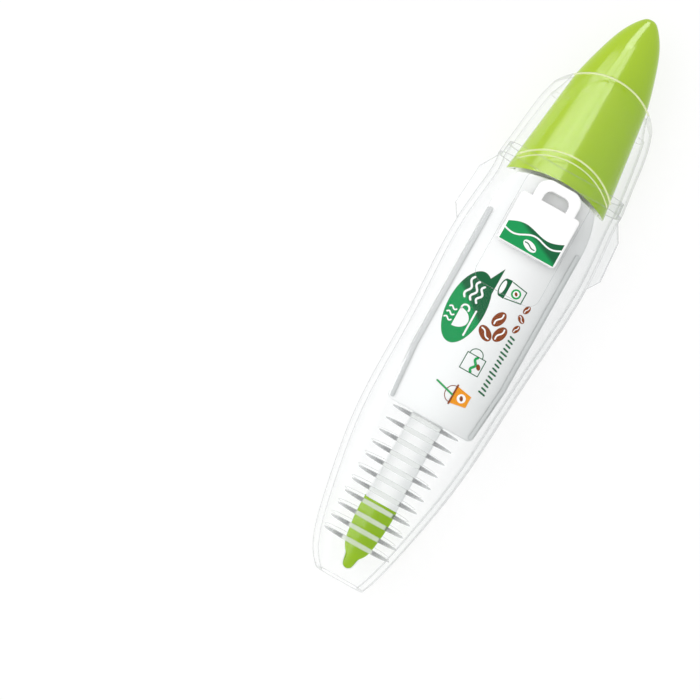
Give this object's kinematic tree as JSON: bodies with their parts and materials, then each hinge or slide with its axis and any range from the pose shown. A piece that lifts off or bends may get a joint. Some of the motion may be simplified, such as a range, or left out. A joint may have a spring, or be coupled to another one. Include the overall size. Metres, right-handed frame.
{
  "type": "correction tape roller",
  "caption": "Pen-shaped correction tape roller: clear case, sliding white tape cartridge with a wedge head, rear push button and a mug-shaped release button.",
  "frame": {"origin": "on the plane that the pen lies on, below the middle of its length and its centre line", "axes": "+X along the pen from the nose to the rear push button, +Z out of the printed face, +Y to the left side; the pen lies on its back"},
  "size_m": [0.12, 0.031, 0.0163],
  "materials": {
    "clear": "clear gloss polystyrene",
    "white": "satin white moulding",
    "white_panel": "gloss white, printed",
    "pale_white": "satin pale moulding",
    "green": "gloss lime green",
    "tape": "matte coated tape",
    "backing": "translucent backing film",
    "grey": "satin acetal",
    "spring_steel": "drawn wire",
    "rubber": "matte"
  },
  "bodies": {
    "case": {"top_shell": "clear", "bottom_shell": "clear", "rear_collar": "clear"},
    "carriage": {"cartridge_base": "white", "cartridge_cover": "white_panel", "head_stem": "pale_white", "transfer_head": "green", "tape_strand": "tape", "push_button": "green", "clutch_spring": "spring_steel", "return_spring": "spring_steel", "release_spring": "spring_steel"},
    "release_button": {"release_button": "white_panel"},
    "supply_drive": {"supply_gear": "grey", "clutch_washer": "rubber"},
    "supply": {"supply_reel": "pale_white", "supply_tape": "tape"},
    "idler": {"idler_gear": "grey"},
    "takeup": {"takeup_reel": "grey", "takeup_tape": "backing"},
    "supply_guide": {"supply_guide": "pale_white"},
    "takeup_guide": {"takeup_guide": "pale_white"}
  },
  "joints": [
    {"name": "push", "type": "slide", "parent": "case", "child": "carriage", "axis": [-1, 0, 0], "range_m": [0, 0.008], "stiffness_N_per_m": 60, "springref_m": -0.004, "deforming": ["return_spring"]},
    {"name": "release", "type": "slide", "parent": "carriage", "child": "release_button", "axis": [0, 0, -1], "range_m": [0, 0.0008], "stiffness_N_per_m": 200, "springref_m": -0.0005, "deforming": ["release_spring"]},
    {"name": "supply_drive_spin", "type": "hinge", "parent": "carriage", "child": "supply_drive", "pos_m": [0.0025, 0, 0.00785], "axis": [0, 0, 1], "continuous": true},
    {"name": "clutch_slip", "type": "hinge", "parent": "supply_drive", "child": "supply", "pos_m": [0.0025, 0, 0.00785], "axis": [0, 0, 1], "continuous": true},
    {"name": "idler_spin", "type": "hinge", "parent": "carriage", "child": "idler", "pos_m": [-0.008, 0, 0.00785], "axis": [0, 0, 1], "continuous": true},
    {"name": "takeup_spin", "type": "hinge", "parent": "carriage", "child": "takeup", "pos_m": [-0.0145, 0, 0.00785], "axis": [0, 0, 1], "continuous": true},
    {"name": "supply_guide_spin", "type": "hinge", "parent": "carriage", "child": "supply_guide", "pos_m": [-0.01904, 0.006, 0.00785], "axis": [0, 0, 1], "continuous": true},
    {"name": "takeup_guide_spin", "type": "hinge", "parent": "carriage", "child": "takeup_guide", "pos_m": [-0.01938, -0.00536, 0.00785], "axis": [0, 0, 1], "continuous": true}
  ],
  "couplings": [
    {"joint": "idler_spin", "follows": "supply_drive_spin", "ratio": -2.5},
    {"joint": "takeup_spin", "follows": "supply_drive_spin", "ratio": 2.1429},
    {"joint": "supply_guide_spin", "follows": "supply_drive_spin", "ratio": 4.7267},
    {"joint": "takeup_guide_spin", "follows": "supply_drive_spin", "ratio": 4.7267}
  ]
}
